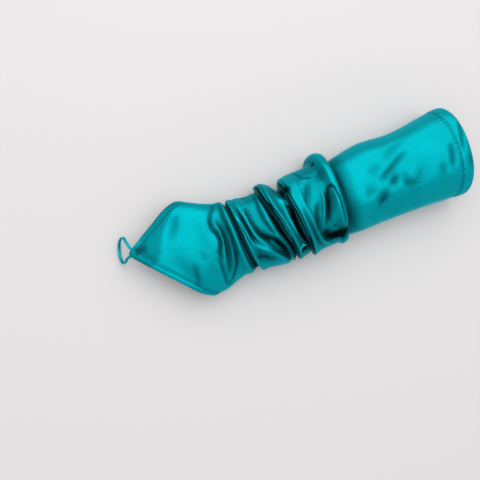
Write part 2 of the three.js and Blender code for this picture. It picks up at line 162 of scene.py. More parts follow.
# Colours of the satin, and how dark it is where folds hide it from the light
SATIN_BRIGHT = (0.0, 0.345, 0.395, 1)
SATIN_DEEP = (0.0, 0.28, 0.325, 1)
BACK_BRIGHT = (0.002, 0.2, 0.24, 1)
BACK_DEEP = (0.001, 0.15, 0.18, 1)
SKY_REACH = 16                # millimetres over which a fold can hide the sky
SKY_NEAR = 0.05               # closer points are left out
SKY_STEPS = (45, 14)          # how many rows and columns away a fold may hide the sky
SKY_AROUND = 0.4              # share left where folds hide all of it round the sleeve
SKY_CONTRAST = 1.7
EVEN_ROUNDS = 2               # how often the shade is evened out round the sleeve
FOLD_DARK = (0.12, 0.97)      # shares of the sky seen at the darkest and at the full colour
FOLD_SHADE = 0.012            # share of its colour that the satin keeps at the darkest

# Sheen and gloss of the satin and the thread; noises: scale, detail and roughness
TEAL_SHEEN = (0.05, 0.75, 0.85, 1)
TEAL_GLOSS = (0.2, 0.85, 1.0, 1)
SATIN_LOOK = {"Sheen Roughness": 0.45, "Sheen Tint": TEAL_SHEEN, "Specular IOR Level": 0.2,
              "Specular Tint": TEAL_GLOSS, "Anisotropic": 0.35}
THREAD_LOOK = {"Sheen Weight": 0.1, "Sheen Tint": TEAL_SHEEN, "Specular IOR Level": 0.08}
WEAVE_STRETCH = (0.12, 1.0, 1.0)
WEAVE_NOISE = (2600, 3, 0.6)
MOTTLE_NOISE = (45, 3, 0.55)
SLUB_NOISE = (300, 2, 0.6)
TWIST_NOISE = (4200, 2, 0.5)
NOISE_RANGE = (0.3, 0.7)
MOTTLE_RANGE = (0.35, 0.7)
MOTTLE_DEEP = 0.6             # how far the mottling and the weave go to the deeper colour
WEAVE_DEEP = 0.5
SLUB_ROUGHNESS = (-0.04, 0.05)
WEAVE_BUMP = (0.35, 0.00012)  # strength and distance, in metres
MOTTLE_BUMP = (0.3, 0.0012)
TWIST_BUMP = (0.5, 0.0001)
TWIST_DARK = 0.55
TWIST_ROUGHNESS = (0.5, 0.75)

# Table, light and room, in metres and watts
TABLE_SIZE = 40
TABLE_COLOUR = (0.665, 0.645, 0.64, 1)
TABLE_ROUGHNESS = 0.7
KEY_PLACE = (0.12, 0.5, 1.07)
KEY_SIZE = 1.8
KEY_POWER = 11.6
ROOM_COLOUR = (0.97, 0.98, 1, 1)
ROOM_STRENGTH = 0.8

# Camera: nearly above, leaning to the hand, turned so that the arm points up to the right
PICTURE = 480
PIXEL_SIZE = 0.93             # millimetres of table in a pixel at the picture's centre
WRIST_PIXEL = (232, 241)      # the pixel that shows the wrist's axis on the table
VIEW_DISTANCE = 600
VIEW_LEAN = math.radians(12)
VIEW_TURN = math.radians(18)
SENSOR = 36


def along(stretch, share):
    """Place along x of a share of a named stretch; the wrist is at 0."""
    if stretch == "tip":
        return -HAND_LENGTH - share * TIP_LENGTH
    if stretch == "hand":
        return -share * HAND_LENGTH
    if stretch == "gather":
        return share * GATHER_LENGTH
    return GATHER_LENGTH + share * FOREARM_LENGTH


# Sections: stretch and share of it, width as a share of a size, height likewise, and sway
SECTIONS = [
    ("tip", 1.3, 1.0, HAND_WIDTH, 0.63, HAND_HEIGHT, 0.2),
    ("tip", 0.97, 1.0, HAND_WIDTH, 0.71, HAND_HEIGHT, 0.2),
    ("tip", 0.53, 1.0, HAND_WIDTH, 0.85, HAND_HEIGHT, 0.2),
    ("hand", 1.0, 0.99, HAND_WIDTH, 1.0, HAND_HEIGHT, 0.2),
    ("hand", 0.48, 1.22, WRIST_WIDTH, 0.92, WRIST_HEIGHT, 0.03),
    ("gather", 0.0, 1.02, WRIST_WIDTH, 0.96, WRIST_HEIGHT, 0.06),
    ("gather", 0.29, 1.0, WRIST_WIDTH, 1.0, WRIST_HEIGHT, 0.0),
    ("gather", 0.53, 0.99, WRIST_WIDTH, 1.03, WRIST_HEIGHT, -0.03),
    ("gather", 0.75, 0.91, FOREARM_WIDTH, 0.88, FOREARM_HEIGHT, 0.22),
    ("gather", 1.0, 0.95, FOREARM_WIDTH, 0.95, FOREARM_HEIGHT, 0.42),
    ("forearm", 0.22, 0.96, FOREARM_WIDTH, 1.0, FOREARM_HEIGHT, 0.56),
    ("forearm", 0.62, 1.0, FOREARM_WIDTH, 1.05, FOREARM_HEIGHT, 0.75),
    ("forearm", 1.0, 0.99, ARM_WIDTH, 1.0, ARM_HEIGHT, 0.97),
    ("forearm", 1.16, 1.02, ARM_WIDTH, 1.0, ARM_HEIGHT, 1.0),
]

# Angles round the sleeve at which the fold table gives its values: the little finger's
# side, five over the back, the thumb's side and the palm
SIDES = (0, 35, 65, 90, 115, 145, 180, 270)

# Rows of the cloth: name, places along x and rises at SIDES, lean towards the hand, all in
# millimetres, and the number of mesh rows up to the next one
FOLDS = [
    ("hand_wide", (-24, -23, -22, -21, -20, -19, -18, -18),
     (0, 0, 0, 0, 0, 0, 0, 0), 0, 12),
    ("first_front", (-11, -10, -9, -7.5, -6.5, -4.5, -1, -7),
     (0, 0.2, 0.2, 0.2, 0.2, 0.2, 0.2, 0), 0, 6),
    ("first_crest", (-5, -4.6, -4, -3, -2, 1, 5, -1),
     (1.4, 2.2, 2.6, 2.8, 2.6, 2, 1.2, 0.3), -0.4, 5),
    ("first_fall", (-1.4, -1.6, -1, 0.6, 2.6, 5.4, 9.6, 1.6),
     (0, -0.2, -0.2, -0.4, -0.6, -0.8, -0.8, -0.5), 0, 5),
    ("first_floor", (1, 1, 1.4, 3, 5.2, 8.6, 13, 5.6),
     (-2.5, -5, -7, -9, -9, -7, -3, -1.5), 0, 5),
    ("lip_under", (2, 2, 2.5, 4.3, 6.8, 10.4, 14.8, 6.8),
     (-0.5, -1.2, -2, -2.5, -2.5, -2, -1.2, -0.6), 0.3, 4),
    ("lip_front", (3, 3, 3.6, 5.6, 8.2, 12, 16.4, 8),
     (0.8, 1, 1, 1, 1, 1, 0.8, 0.2), 1.4, 7),
    ("lip_top", (5, 5, 5.8, 8, 10.6, 14.4, 18.6, 10),
     (2.6, 3, 3.2, 3.3, 3.3, 3, 2.2, 0.6), 1, 4),
    ("lip_back", (7, 6.6, 7.6, 10, 14, 18.6, 23.4, 13),
     (2.2, 2.4, 2.6, 2.8, 1.6, 1.2, 1, 0.2), 0.2, 6),
    ("billow", (12, 9.6, 10.4, 13, 22.4, 33.6, 41, 17),
     (2.6, 2.6, 2.8, 3.1, 3.4, 3, 2, 0.5), 0, 7),
    ("billow_dip", (18.6, 16.4, 17.6, 20, 29.4, 39, 44.4, 24),
     (1.6, 1.6, 1.4, 1.2, -0.6, -1.6, -1.6, -0.8), 0, 6),
    ("billow_shoulder", (23, 22, 22.6, 24.6, 32.4, 40.2, 45.6, 27),
     (1.8, 1.8, 1.6, 1.6, 1.2, 0.4, -0.6, -0.2), 0, 5),
    ("billow_crest", (27.6, 27.4, 28.6, 31, 37, 42.2, 46.8, 30.6),
     (2.4, 3.4, 3.8, 4, 3.4, 2.4, 1.2, 0.6), -0.4, 5),
    ("billow_fall", (29.8, 30, 31.8, 35, 40.6, 44.8, 48.8, 34),
     (0.4, -0.4, -0.6, -1, -1, -0.8, -0.8, -0.6), 0, 5),
    ("roll_floor", (31, 31.4, 34, 38.2, 43, 47, 50.8, 36.4),
     (-2.5, -7, -10, -12, -11, -7.5, -3.5, -1.6), 0, 6),
    ("roll_under", (33.4, 33, 36.4, 41.2, 45.6, 49.4, 52.6, 37.6),
     (1, -6, -9, -9, -8.5, -5, -2, -1.2), 0, 5),
    ("roll_front", (33.2, 34.6, 38.4, 43.6, 47.6, 51.2, 54.4, 39.2),
     (6.4, 3.4, 1.2, 1, 1, 1, 0.6, -0.2), 3.2, 9),
    ("roll_top", (40, 39, 41, 46.2, 50, 53.4, 56.6, 41.6),
     (9.6, 7.8, 5.8, 5, 4.6, 3.4, 2, 0.7), 2.4, 5),
    ("roll_back", (45.4, 43.4, 45, 49, 52.6, 55.6, 58.6, 45),
     (6.2, 4, 2.8, 2.2, 1.8, 1, 0.4, -0.2), 0.5, 5),
    ("gully_slope", (46, 48, 49.4, 50.6, 53.4, 58.8, 61.2, 49),
     (1.6, 1.2, 1.4, 0.2, -0.2, 0.6, -0.6, -0.8), -0.6, 5),
    ("gully_floor", (51, 51.4, 52.2, 54, 57, 61.6, 63.8, 52),
     (-1, -3, 1, -12, -13, -7.5, -2.5, -1.6), 0, 6),
    ("collar_under", (53.6, 54.2, 55, 58, 60.6, 63.8, 66.2, 54.6),
     (0, -2, 0.6, -8, -9, -4.5, -2, -1.2), 0, 5),
    ("collar_front", (56, 56.6, 57.2, 60.4, 63, 65.2, 68, 56.8),
     (4, 1.4, 1.2, 1, 1, 0.8, 0.6, -0.2), 3.4, 10),
    ("collar_top", (59.4, 60, 60.6, 63.4, 65.8, 68, 70.6, 59.8),
     (8.6, 7.2, 6.4, 6, 5.6, 4.6, 3.4, 0.5), 3, 5),
    ("collar_back", (64, 64.4, 65, 67.6, 70, 72.4, 74.4, 64.2),
     (8.2, 6.4, 5.4, 4.6, 3.8, 2.8, 1.6, 0), 0.5, 9),
    ("collar_panel", (75.5, 75, 75, 76, 77.5, 80, 83, 74),
     (4.8, 4.2, 3.8, 3.6, 3.2, 2.2, 1, -0.6), 0, 12),
    ("cuff_front", (85, 85.4, 86, 87, 88, 89.4, 92, 86),
     (4, 4.4, 4.2, 4, 3.4, 2.6, 1.4, 0.2), 0, 4),
    ("cuff_shoulder", (87.6, 89.2, 90, 90.6, 91, 91.6, 94, 90),
     (9.4, 6.6, 5.8, 5.4, 5, 4, 2.6, 0.4), 0, 5),
    ("cuff_crest", (92.6, 93.6, 94, 94, 94, 93.8, 96, 94),
     (11.4, 8.8, 8, 7.6, 7, 5.6, 3.8, 0.6), 0, 5),
    ("cuff_edge", (97.2, 97.2, 97.2, 97, 96.8, 96.6, 98.4, 97),
     (8.6, 7, 6.4, 6, 5.6, 4, 2.4, 0.2), -1.8, 6),
    ("cuff_under", (99, 98.8, 98.8, 98.6, 98.4, 98.4, 100.4, 99.6),
     (2, 1.6, 1.2, 1, 0.8, 0.4, 0, -0.3), -0.4, 4),
    ("cuff_step", (101.6, 101.6, 101.4, 101.4, 101.6, 102, 104, 102.4),
     (-2.4, -3, -3.4, -3.6, -3.4, -2.4, -1.4, -0.8), 0, 6),
    ("arm_start", (114, 114, 114, 115, 116, 117, 118, 114),
     (-0.5, -0.3, 0, 0, 0, 0, 0, 0), 0, 9),
    ("arm_low", (138, 137, 136, 136, 136, 139, 142, 138),
     (2.6, 1.4, 0.3, 0, 0, 0, 0, 0.4), 0, 10),
    ("arm_middle", (168, 168, 168, 168, 168, 170, 172, 168),
     (0, 0, 0, 0, 0, 0, 0, 0), 0, 10),
    ("arm_high", (197, 199, 200, 201, 202, 201, 200, 197),
     (0, 0, 0, 0, 0, 0, 0, 0), 0, 8),
]

# Lips whose edge is a fine rim with a groove behind it: front row and top row of each
LIPS = [("lip_front", "lip_top"), ("roll_front", "roll_top"), ("collar_front", "collar_top")]
LIP_RIM = (0.22, 0.85)        # share of the way to the top row, along x and in height
LIP_GROOVE = (0.62, 0.68)
CRISP_FROM = 0.15             # sine of the angle from which a lip has its rim, and its run
CRISP_RUN = 0.4
RIM_LIGHT = 1.0               # painted highlight that lifts the rim's satin, and painted shade that darkens the groove
GROOVE_PAINTED_SHADE = 0.35
RIM_SPREAD = (1.2, 0.6)       # rows from the lip's front to the rim, and its half width
GROOVE_SPREAD = (2.05, 0.35)

WRINKLE_END = 0.3             # share of a wrinkle that is left at the ends of its line
WRINKLE_CURVE = 0.6

# Wrinkles: points of a line as (x, angle), then half width, rise and how much painted shade it
# lays on the satin (below zero, a painted highlight), in millimetres, degrees and shares
WRINKLES = [
    # Back of the hand
    (((-11, 24), (-17, 48), (-20, 61), (-20, 72), (-17, 79), (-16, 88), (-19.5, 97),
      (-22, 108), (-21, 128), (-20, 150)), 1.5, -1.9, 0.45),
    (((-6.5, 26), (-8, 58), (-6.5, 86), (-6.5, 110), (-8, 124), (-12, 138), (-19, 155)),
     1.4, -1.9, 0.5),
    (((-12.5, 62), (-11, 78), (-11, 94), (-13, 110), (-15.5, 130)), 2.6, -2.2, 0.5),
    (((-16.6, 62), (-14.3, 74), (-13.6, 86), (-16.2, 100), (-18.4, 124)), 1.2, 1.4, -0.12),
    (((-46, 48), (-49.5, 61), (-55, 75)), 3.4, -1, 0.26),
    (((-44, 105), (-44.5, 118), (-45, 132)), 2.2, -1, 0.26),
    (((-34, 93), (-35, 104)), 3, -0.5, 0.12),
    (((-58, 92), (-52, 108), (-47, 122)), 6, -0.6, 0.12),
    (((-30, 58), (-31, 76), (-27, 96), (-30, 120)), 4.5, -0.4, 0.1),
    # Between the first lip and the roll
    (((-1, 30), (1.5, 55), (4.5, 72), (7, 88), (9, 98), (12, 107), (17, 114), (24, 121),
      (30, 131), (35.5, 145)), 1.3, 1.7, -0.2),
    (((5, 36), (7.5, 64), (9.5, 84), (11, 93), (14, 101)), 1.1, -1.4, 0.4),
    (((10, 56), (12, 78), (14, 89), (17, 98), (23, 107)), 1.8, 1.2, -0.15),
    (((15, 50), (15, 72), (16, 84), (18.4, 92), (22.5, 98), (28, 103), (32.5, 109),
      (37, 122), (40.5, 144)), 1.8, -2.4, 0.55),
    (((31, 106), (36.5, 121), (40.5, 140)), 2.4, -2.6, 0.75),
    (((27, 20), (25, 44), (24.6, 63), (25.6, 80), (28.4, 91), (32, 98)), 1.3, -1.7, 0.45),
    (((10.5, 123), (18.5, 131), (27, 141)), 3, -1.8, 0.55),
    (((14.5, 144), (24, 162)), 2.6, 1.4, -0.1),
    (((16, 8), (18, 24)), 2.2, -1.2, 0.3),
    # Roll and the strip behind it
    (((45, 43), (48, 66), (48.4, 84), (50.4, 94), (53, 107), (56, 119)), 1.5, 1, -0.35),
    (((46, 52), (51.5, 60)), 3.6, 1.4, -0.55),
    (((53.5, 34), (55.5, 45)), 2.8, -4, 1.5),
    (((50.6, 139.5), (51.9, 132.6), (55.2, 129.8), (58.4, 132.6), (59.6, 138.5), (58.2, 144)),
     1.2, 2, -1.2),
    # Collar and its pocket
    (((64.4, 30), (64, 58), (64.6, 75), (66.6, 90), (67.4, 100), (68.8, 115), (72, 132),
      (78, 147)), 1.6, 1.1, -0.25),
    (((62.8, 84), (64.8, 100), (66.4, 112), (68, 126), (70, 140)), 2.4, -1.1, 0.62),
    (((63, 44), (65, 66), (67, 86), (68.6, 100)), 3, -0.3, 0.14),
    (((75, 50), (71.5, 64), (69, 78)), 3, -1.4, 0.42),
    (((76.6, 86), (73, 95), (71.6, 108), (72.4, 116)), 1.9, -1.8, 0.45),
    (((83.4, 72), (83, 84), (80, 95), (77, 106), (75.4, 118)), 1.2, 1.8, -0.25),
    (((88.4, 76), (87, 87), (84.4, 96), (81.4, 112)), 2.8, -1.2, 0.5),
    (((81, 112), (84.4, 96), (87, 84), (89, 74), (91.8, 72.5), (94.2, 78), (95.6, 87),
      (96.2, 97), (96.2, 108), (95.4, 120)), 1, -1.5, 0.6),
    (((94, 86), (91, 98), (88, 112)), 3.6, 1.8, -0.24),
    (((85.4, 118), (88, 121)), 1.8, -1, 0.4),
    (((75.5, 122.5), (80.5, 134), (86, 141.5), (91.5, 142.5), (96.5, 134)), 4, -6, 1.7),
    (((86, 137), (91, 136), (96.5, 129)), 4.4, -3.5, 1.3),
    (((69, 118), (72, 134), (77, 146), (83, 153), (88, 150.5), (95, 156)), 1.6, 1.8, -0.4),
    (((67, 5), (71.5, 33), (80, 45)), 1.2, -1, 0.35),
    (((87, 40), (86, 60)), 5, -1.2, 0.34),
    (((101.5, 40), (102, 64), (103, 92), (105, 117), (106.5, 145)), 2.6, -0.8, 0.08),
    (((103, 108), (105, 128), (106.5, 146)), 3.6, -0.6, 0.25),
    # Forearm
    (((171.5, 70), (164.5, 74), (155, 82), (147, 88), (142, 90)), 2.3, -1.5, 0.32),
    (((157, 90), (150.5, 100)), 3.2, -1.8, 0.48),
    (((142.5, 106), (138, 115), (135, 121)), 4, -2, 0.5),
    (((171, 47), (160, 58), (150, 69)), 4, -0.9, 0.16),
    (((131.5, 78), (144, 74)), 4, -0.8, 0.15),
    (((163, 92), (166, 104), (172.5, 112)), 3, -1.2, 0.3),
    (((217.5, 84), (213.5, 105)), 2.4, -1.2, 0.32),
    (((232.5, 64), (230.5, 78), (227, 92)), 2, -0.8, 0.34),
    (((232, 100), (231, 112)), 1.8, -0.6, 0.3),
    (((204, 97), (203.5, 112)), 3, -0.8, 0.18),
    (((118, 128), (140, 134), (165, 138), (190, 140)), 9, -0.6, 0.05),
    (((186, 92), (180, 104), (170, 118)), 6, -0.8, 0.12),
    (((126, 92), (131, 104)), 5, -0.8, 0.12),
]

FACET_CURVE = 12              # the higher, the sharper a facet's edges

# Painted shade over facets that lean away from the light: points of a line, half width and how
# dark
FACETS = [
    (((-86, 84), (-76, 79), (-69, 60), (-58, 40), (-50, 22)), 9.5, 0.4),
]

PIT_PAINTED_SHADE = 3                  # a pit gets painted shade, full from a third of the way to its bottom on

# Pits that narrow to their bottom, with painted shade in them: x, angle, half lengths along x
# and round the sleeve, rise
PITS = [
    (55.1, 138, 4.3, 3.6, -8),
    (87.2, 23, 1.6, 1.6, -4),
]


def smooth(places, values, x):
    """Smooth curve through uneven places; values may have more columns after the first axis."""
    places = np.asarray(places, float)
    values = np.asarray(values, float)
    slopes = np.gradient(values, places, axis=0)
    x = np.asarray(x, float)
    i = np.clip(np.searchsorted(places, x, side="right") - 1, 0, len(places) - 2)
    step = places[i + 1] - places[i]
    t = (x - places[i]) / step
    if values.ndim > 1:
        step = step[..., None]
        t = t[..., None]
    before = (2 * t**3 - 3 * t**2 + 1) * values[i] + (t**3 - 2 * t**2 + t) * step * slopes[i]
    return before + (3 * t**2 - 2 * t**3) * values[i + 1] + (t**3 - t**2) * step * slopes[i + 1]


def round_sleeve(values, angles):
    """Values given once round the sleeve at SIDES, carried to all angles (radians)."""
    places = np.radians([SIDES[-1] - 360, *SIDES, 360, SIDES[1] + 360])
    closed = [values[-1], *values, values[0], values[1]]
    return smooth(places, closed, np.mod(angles, 2 * np.pi))


section_table = np.array([
    (along(on, at), width * of / 2, height * up, sway * SWAY)
    for on, at, width, of, height, up, sway in SECTIONS
])


def section(x):
    """Half width, height and sway of the smooth sleeve at x."""
    values = smooth(section_table[:, 0], section_table[:, 1:], x)
    return values[..., 0], values[..., 1], values[..., 2]


def power(value, exponent):
    """Power that keeps the sign."""
    return np.sign(value) * np.abs(value) ** exponent


hand_half, _, hand_sway = section(np.array(along("hand", 1)))


def hand_edge(angles):
    """x of the hand opening's edge: a point over the back, hollow under the palm."""
    cosine = np.cos(angles)
    sine = np.sin(angles)
    beyond = np.maximum(0, (np.abs(cosine) - SIDE_FROM) / (1 - SIDE_FROM))
    rounding = SIDE_ROUND * beyond ** 2
    palm = (along("hand", 1) - SIDE_SKEW * cosine
            + PALM_CUT * np.maximum(0, -sine) ** PALM_CURVE)
    across = power(cosine, ROUND_TOP) * hand_half + hand_sway
    little = across > POINT_OFFSET
    side = np.where(little, hand_sway + hand_half, hand_sway - hand_half)
    corner = along("hand", 1) + np.where(little, -SIDE_SKEW, SIDE_SKEW)
    meeting = along("tip", 1) - POINT_ROUND
    reach = (across - POINT_OFFSET) / (side - POINT_OFFSET)
    back = meeting + np.hypot(reach * (corner - meeting), POINT_ROUND)
    return np.where(sine < 0, palm, back) + rounding


def hand_hem_run(angles):
    """Run of the hand hem along x, longer where the edge is slanted."""
    little = hand_sway + hand_half - POINT_OFFSET
    thumb = POINT_OFFSET - hand_sway + hand_half
    slant = np.hypot(1, TIP_LENGTH / np.where(np.cos(angles) > 0, little, thumb))
    on_back = np.clip(0.5 + SLANT_RUN * np.sin(angles), 0, 1)
    return (HAND_HEM + HEM_SETBACK) * (1 + (slant - 1) * on_back)


def arm_edge(angles):
    """x of the arm opening's edge, which reaches further over the back."""
    return along("forearm", 1) + ARM_CUT * np.maximum(0, np.sin(angles)) ** ARM_CURVE


def hang(angles):
    """Folds hang over on the back and the sides, and not where they lie on the table."""
    share = np.clip((np.sin(angles) - HANG_FROM) / HANG_RUN, 0, 1)
    return share * share * (3 - 2 * share)


def turned_from(angles, degrees):
    """Turn in radians, the short way round, from one angle in degrees to others in radians."""
    return np.angle(np.exp(1j * (angles - math.radians(degrees))))


def away_from(line, x, angles, arc):
    """Distance from a line over the sleeve, and the share of the line that is nearest."""
    nearest = np.full(x.shape, np.inf)
    share = np.zeros(x.shape)
    for number, (start, end) in enumerate(zip(line, line[1:])):
        run_x = end[0] - start[0]
        run_a = math.radians(end[1] - start[1]) * arc
        here_x = x - start[0]
        here_a = turned_from(angles, start[1]) * arc
        t = np.clip((here_x * run_x + here_a * run_a) / (run_x**2 + run_a**2), 0, 1)
        away = np.hypot(here_x - t * run_x, here_a - t * run_a)
        closer = away < nearest
        nearest = np.where(closer, away, nearest)
        share = np.where(closer, (number + t) / (len(line) - 1), share)
    return nearest, share


def wrinkle_rise(x, angles):
    """Height of the wrinkles at places of the sleeve, and the share of light they leave."""
    rise = np.zeros(x.shape)
    light = np.ones(x.shape)
    arc = section(x)[0] * ARC
    for line, wide, high, dark in WRINKLES:
        away, share = away_from(line, x, angles, arc)
        whole = WRINKLE_END + (1 - WRINKLE_END) * np.sin(np.pi * share) ** WRINKLE_CURVE
        felt = np.exp(-(away / wide) ** 2) * whole
        rise += high * felt
        # Painted shade along the wrinkle's line, or a painted highlight where its share is below
        # zero
        light *= np.maximum(0, 1 - dark * felt)
    for line, wide, dark in FACETS:
        away, _ = away_from(line, x, angles, arc)
        light *= 1 - dark * np.exp(-(away / wide) ** FACET_CURVE)
    for x0, a0, long, wide, high in PITS:
        here_a = turned_from(angles, a0) * arc
        inside = np.maximum(0, 1 - np.hypot((x - x0) / long, here_a / wide))
        rise += high * inside
        light *= 1 - np.minimum(1, PIT_PAINTED_SHADE * inside)
    return rise, light


def cloth_point(x, rise, angles):
    """Points over the smooth sleeve, in millimetres."""
    half, height, sway = section(x)
    cosine = np.cos(angles)
    sine = np.sin(angles)
    middle = WIDEST * height
    upward = np.where(sine >= 0, height - middle, middle + FLAT_SINK)
    exponent = np.where(sine >= 0, ROUND_TOP, ROUND_LOW)
    out_y = cosine / half
    out_z = sine / upward
    out = rise / np.hypot(out_y, out_z)
    y = sway + half * power(cosine, exponent) + out_y * out
    z = middle + upward * power(sine, exponent) + out_z * out
    return np.stack([x, y, np.maximum(0, z)], -1)


def control_rows(angles):
    """Place and rise of each row of the cloth at each angle, and the mesh rows between them."""
    edge = hand_edge(angles)
    hem = edge + hand_hem_run(angles)
    drop = hang(angles)
    crisp = np.clip((np.sin(angles) - CRISP_FROM) / CRISP_RUN, 0, 1)
    folds = {name: [round_sleeve(at, angles), round_sleeve(rise, angles), lean, steps]
             for name, at, rise, lean, steps in FOLDS}
    rows = []
    for name, (at, rise, lean, steps) in folds.items():
        top = next((after for front, after in LIPS if front == name), None)
        if top is None:
            rows.append((at - lean * drop, rise, steps))
            continue
        top_at, top_rise, top_lean, _ = folds[top]
        rows.append((at - lean * drop, rise, steps // 3))
        for along_share, up_share in (LIP_RIM, LIP_GROOVE):
            here = at + along_share * (top_at - at) - drop * (
                lean + along_share * (top_lean - lean))
            plain = math.sqrt(1 - (1 - along_share) ** 2)
            up = plain + (up_share - plain) * crisp
            rows.append((here, rise + up * (top_rise - rise), (steps + 1) // 3))
    first = folds[FOLDS[0][0]][0]
    none = np.zeros_like(angles)
    end = arm_edge(angles)
    start = [(edge, none, HAND_STEPS[0])]
    for share, steps in zip(HAND_ROWS, HAND_STEPS[1:]):
        start.append((hem + share * (first - hem), none, steps))
    rows = [*start, *rows, (end - ARM_HEM - HEM_SETBACK, none, ARM_STEPS), (end, none, 0)]
    return (np.array([row[0] for row in rows]), np.array([row[1] for row in rows]),
            [row[2] for row in rows[:-1]])


# Columns lie closer over the back than under the palm
turns = np.linspace(0, 2 * math.pi, TURN_STEPS)
crowded = turns + CROWDING * np.cos(turns)
point_angle = math.acos(((POINT_OFFSET - hand_sway) / hand_half) ** (1 / ROUND_TOP))
point_turn = np.interp(point_angle, crowded, turns)
column_turns = point_turn + 2 * math.pi * np.arange(AROUND) / AROUND
columns = column_turns + CROWDING * np.cos(column_turns)
row_x, row_rise, row_steps = control_rows(columns)
row_numbers = np.arange(len(row_x))
lip_rows = []
for number, fold in enumerate(FOLDS):
    if any(fold[0] == front for front, _ in LIPS):
        lip_rows.append(1 + len(HAND_ROWS) + number + 2 * len(lip_rows))
last_row = len(row_x) - 1
grid_places = np.concatenate([
    number + np.arange(count) / count for number, count in enumerate(row_steps)
] + [[last_row]])
hem_slant = hand_hem_run(columns) / (HAND_HEM + HEM_SETBACK)


def steps_along(line):
    """Distances from the first point of a line to each of its points."""
    return np.concatenate([[0], np.cumsum(np.linalg.norm(np.diff(line, axis=0), axis=1))])


def steps_round(ring):
    """Distances from the first point of a closed ring to each of its points, and all round."""
    return steps_along(np.concatenate([ring, ring[:1]]))


def ripple(arc, pitch):
    """Uneven puckers along a stitched line."""
    far, over = PUCKER_WANDER
    fade, fade_over, phase = PUCKER_FADE
    wander = far * np.sin(2 * np.pi * arc / (over * pitch))
    size = (1 - fade) + fade * np.sin(2 * np.pi * arc / (fade_over * pitch) + phase)
    return np.sin(2 * np.pi * arc / pitch + wander) * size


def hem_rise(inside, stitch, puckers, puff, pucker):
    """Rise of a sewn hem inside its edge: puffed cloth, a line pulled in by its thread."""
    puffed = puff * np.sin(np.pi * np.clip(inside / stitch, 0, 1)) ** PUFF_CURVE
    groove = -STITCH_GROOVE * np.exp(-((inside - stitch) / GROOVE_REACH) ** 2)
    reach = np.where(inside > stitch, PUCKER_REACH, EDGE_REACH * PUCKER_REACH)
    away = (inside - stitch) / reach
    return puffed + groove + pucker * np.exp(-away ** 2) * puckers


hand_ring = cloth_point(row_x[0], row_rise[0], columns)
arm_ring = cloth_point(row_x[-1], row_rise[-1], columns)
hand_puckers = ripple(steps_round(hand_ring)[:-1], HAND_PITCH) * hang(columns)
arm_puckers = ripple(steps_round(arm_ring)[:-1], ARM_PITCH) * hang(columns)


def lie(at):
    """Place along x, rise over the smooth sleeve and light of the cloth at given places."""
    at = np.asarray(at, float)
    x = smooth(row_numbers, row_x, at)
    angles = np.broadcast_to(columns, x.shape)
    rise = smooth(row_numbers, row_rise, at)
    rise += hem_rise((x - row_x[0]) / hem_slant, HAND_STITCH, hand_puckers, HAND_PUFF,
                     HAND_PUCKER)
    rise += hem_rise(row_x[-1] - x, ARM_STITCH, arm_puckers, ARM_PUFF, ARM_PUCKER)
    wrinkles, light = wrinkle_rise(x, angles)
    over = hang(angles)
    # Painted highlight on each lip's rim and painted shade in its groove, over the back and the
    # sides
    for number in lip_rows:
        near_rim, near_groove = (
            np.exp(-((at[:, None] - number - after) / half) ** 2)
            for after, half in (RIM_SPREAD, GROOVE_SPREAD)
        )
        light *= (1 + RIM_LIGHT * over * near_rim) * (1 - GROOVE_PAINTED_SHADE * over * near_groove)
    return x, rise + wrinkles, light


def surface(at):
    """Outer face of the cloth at the given places, for all columns."""
    x, rise, _ = lie(at)
    return cloth_point(x, rise, np.broadcast_to(columns, x.shape))


def unit(vectors):
    """Vectors made one long."""
    return vectors / np.linalg.norm(vectors, axis=-1, keepdims=True)


def outward(points):
    """Unit directions out of a grid that closes round its second axis."""
    forward = np.gradient(points, axis=0)
    sideways = np.roll(points, -1, 1) - np.roll(points, 1, 1)
    return unit(np.cross(sideways, forward))


grid = surface(grid_places)

# Shift to the shared frame: the arm's edge and the sleeve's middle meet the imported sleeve's
sleeve_low, sleeve_high = (np.array(corner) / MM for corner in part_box("sleeve"))
shift = np.array([
    sleeve_high[0] - (along("forearm", 1) + ARM_CUT),
    (sleeve_low[1] + sleeve_high[1]) / 2 - (grid[..., 1].min() + grid[..., 1].max()) / 2,
    0.0,
])


def to_frame(points):
    """Points in metres in the shared frame."""
    return (points + shift) * MM


def horizon(along_x, along_arc, rise, axis, way):
    """Angle from upright down to which folds on one side hide the sky, for each grid point."""
    lowest = np.full(rise.shape, np.pi / 2)
    count = rise.shape[axis]
    for step in range(1, SKY_STEPS[axis]):
        if axis == 0:
            ahead = np.clip(np.arange(count) + way * step, 0, count - 1)
            other = [np.take(values, ahead, 0) for values in (along_x, along_arc, rise)]
        else:
            other = [np.roll(values, -way * step, 1) for values in (along_x, along_arc, rise)]
        turn = other[1] - along_arc
        arc_round = 2 * np.pi * section(along_x)[0] * ARC
        turn = (turn + arc_round / 2) % arc_round - arc_round / 2
        if axis == 0:
            run = way * (other[0] - along_x)
        else:
            run = np.hypot(other[0] - along_x, turn)
        up = other[2] - rise
        away = np.hypot(run, up)
        hides = (away < SKY_REACH) & (away >= SKY_NEAR)
        lowest = np.minimum(lowest, np.where(hides, np.arctan2(run, up), np.pi / 2))
    return lowest


def openness(x, rise):
    """Share of the sky that each point of the cloth sees between the folds about it."""
    arc = columns * section(x)[0] * ARC
    seen = [
        np.clip((horizon(x, arc, rise, axis, 1) + horizon(x, arc, rise, axis, -1)) / np.pi, 0, 1)
        for axis in (0, 1)
    ]
    return seen[0] * (SKY_AROUND + (1 - SKY_AROUND) * seen[1])


def evened(values):
    """Values of a grid, evened out with their neighbours round the sleeve and then along it."""
    for _ in range(EVEN_ROUNDS):
        values = (np.roll(values, 1, 1) + 2 * values + np.roll(values, -1, 1)) / 4
    inside = (values[:-2] + 4 * values[1:-1] + values[2:]) / 6
    return np.concatenate([values[:1], inside, values[-1:]])


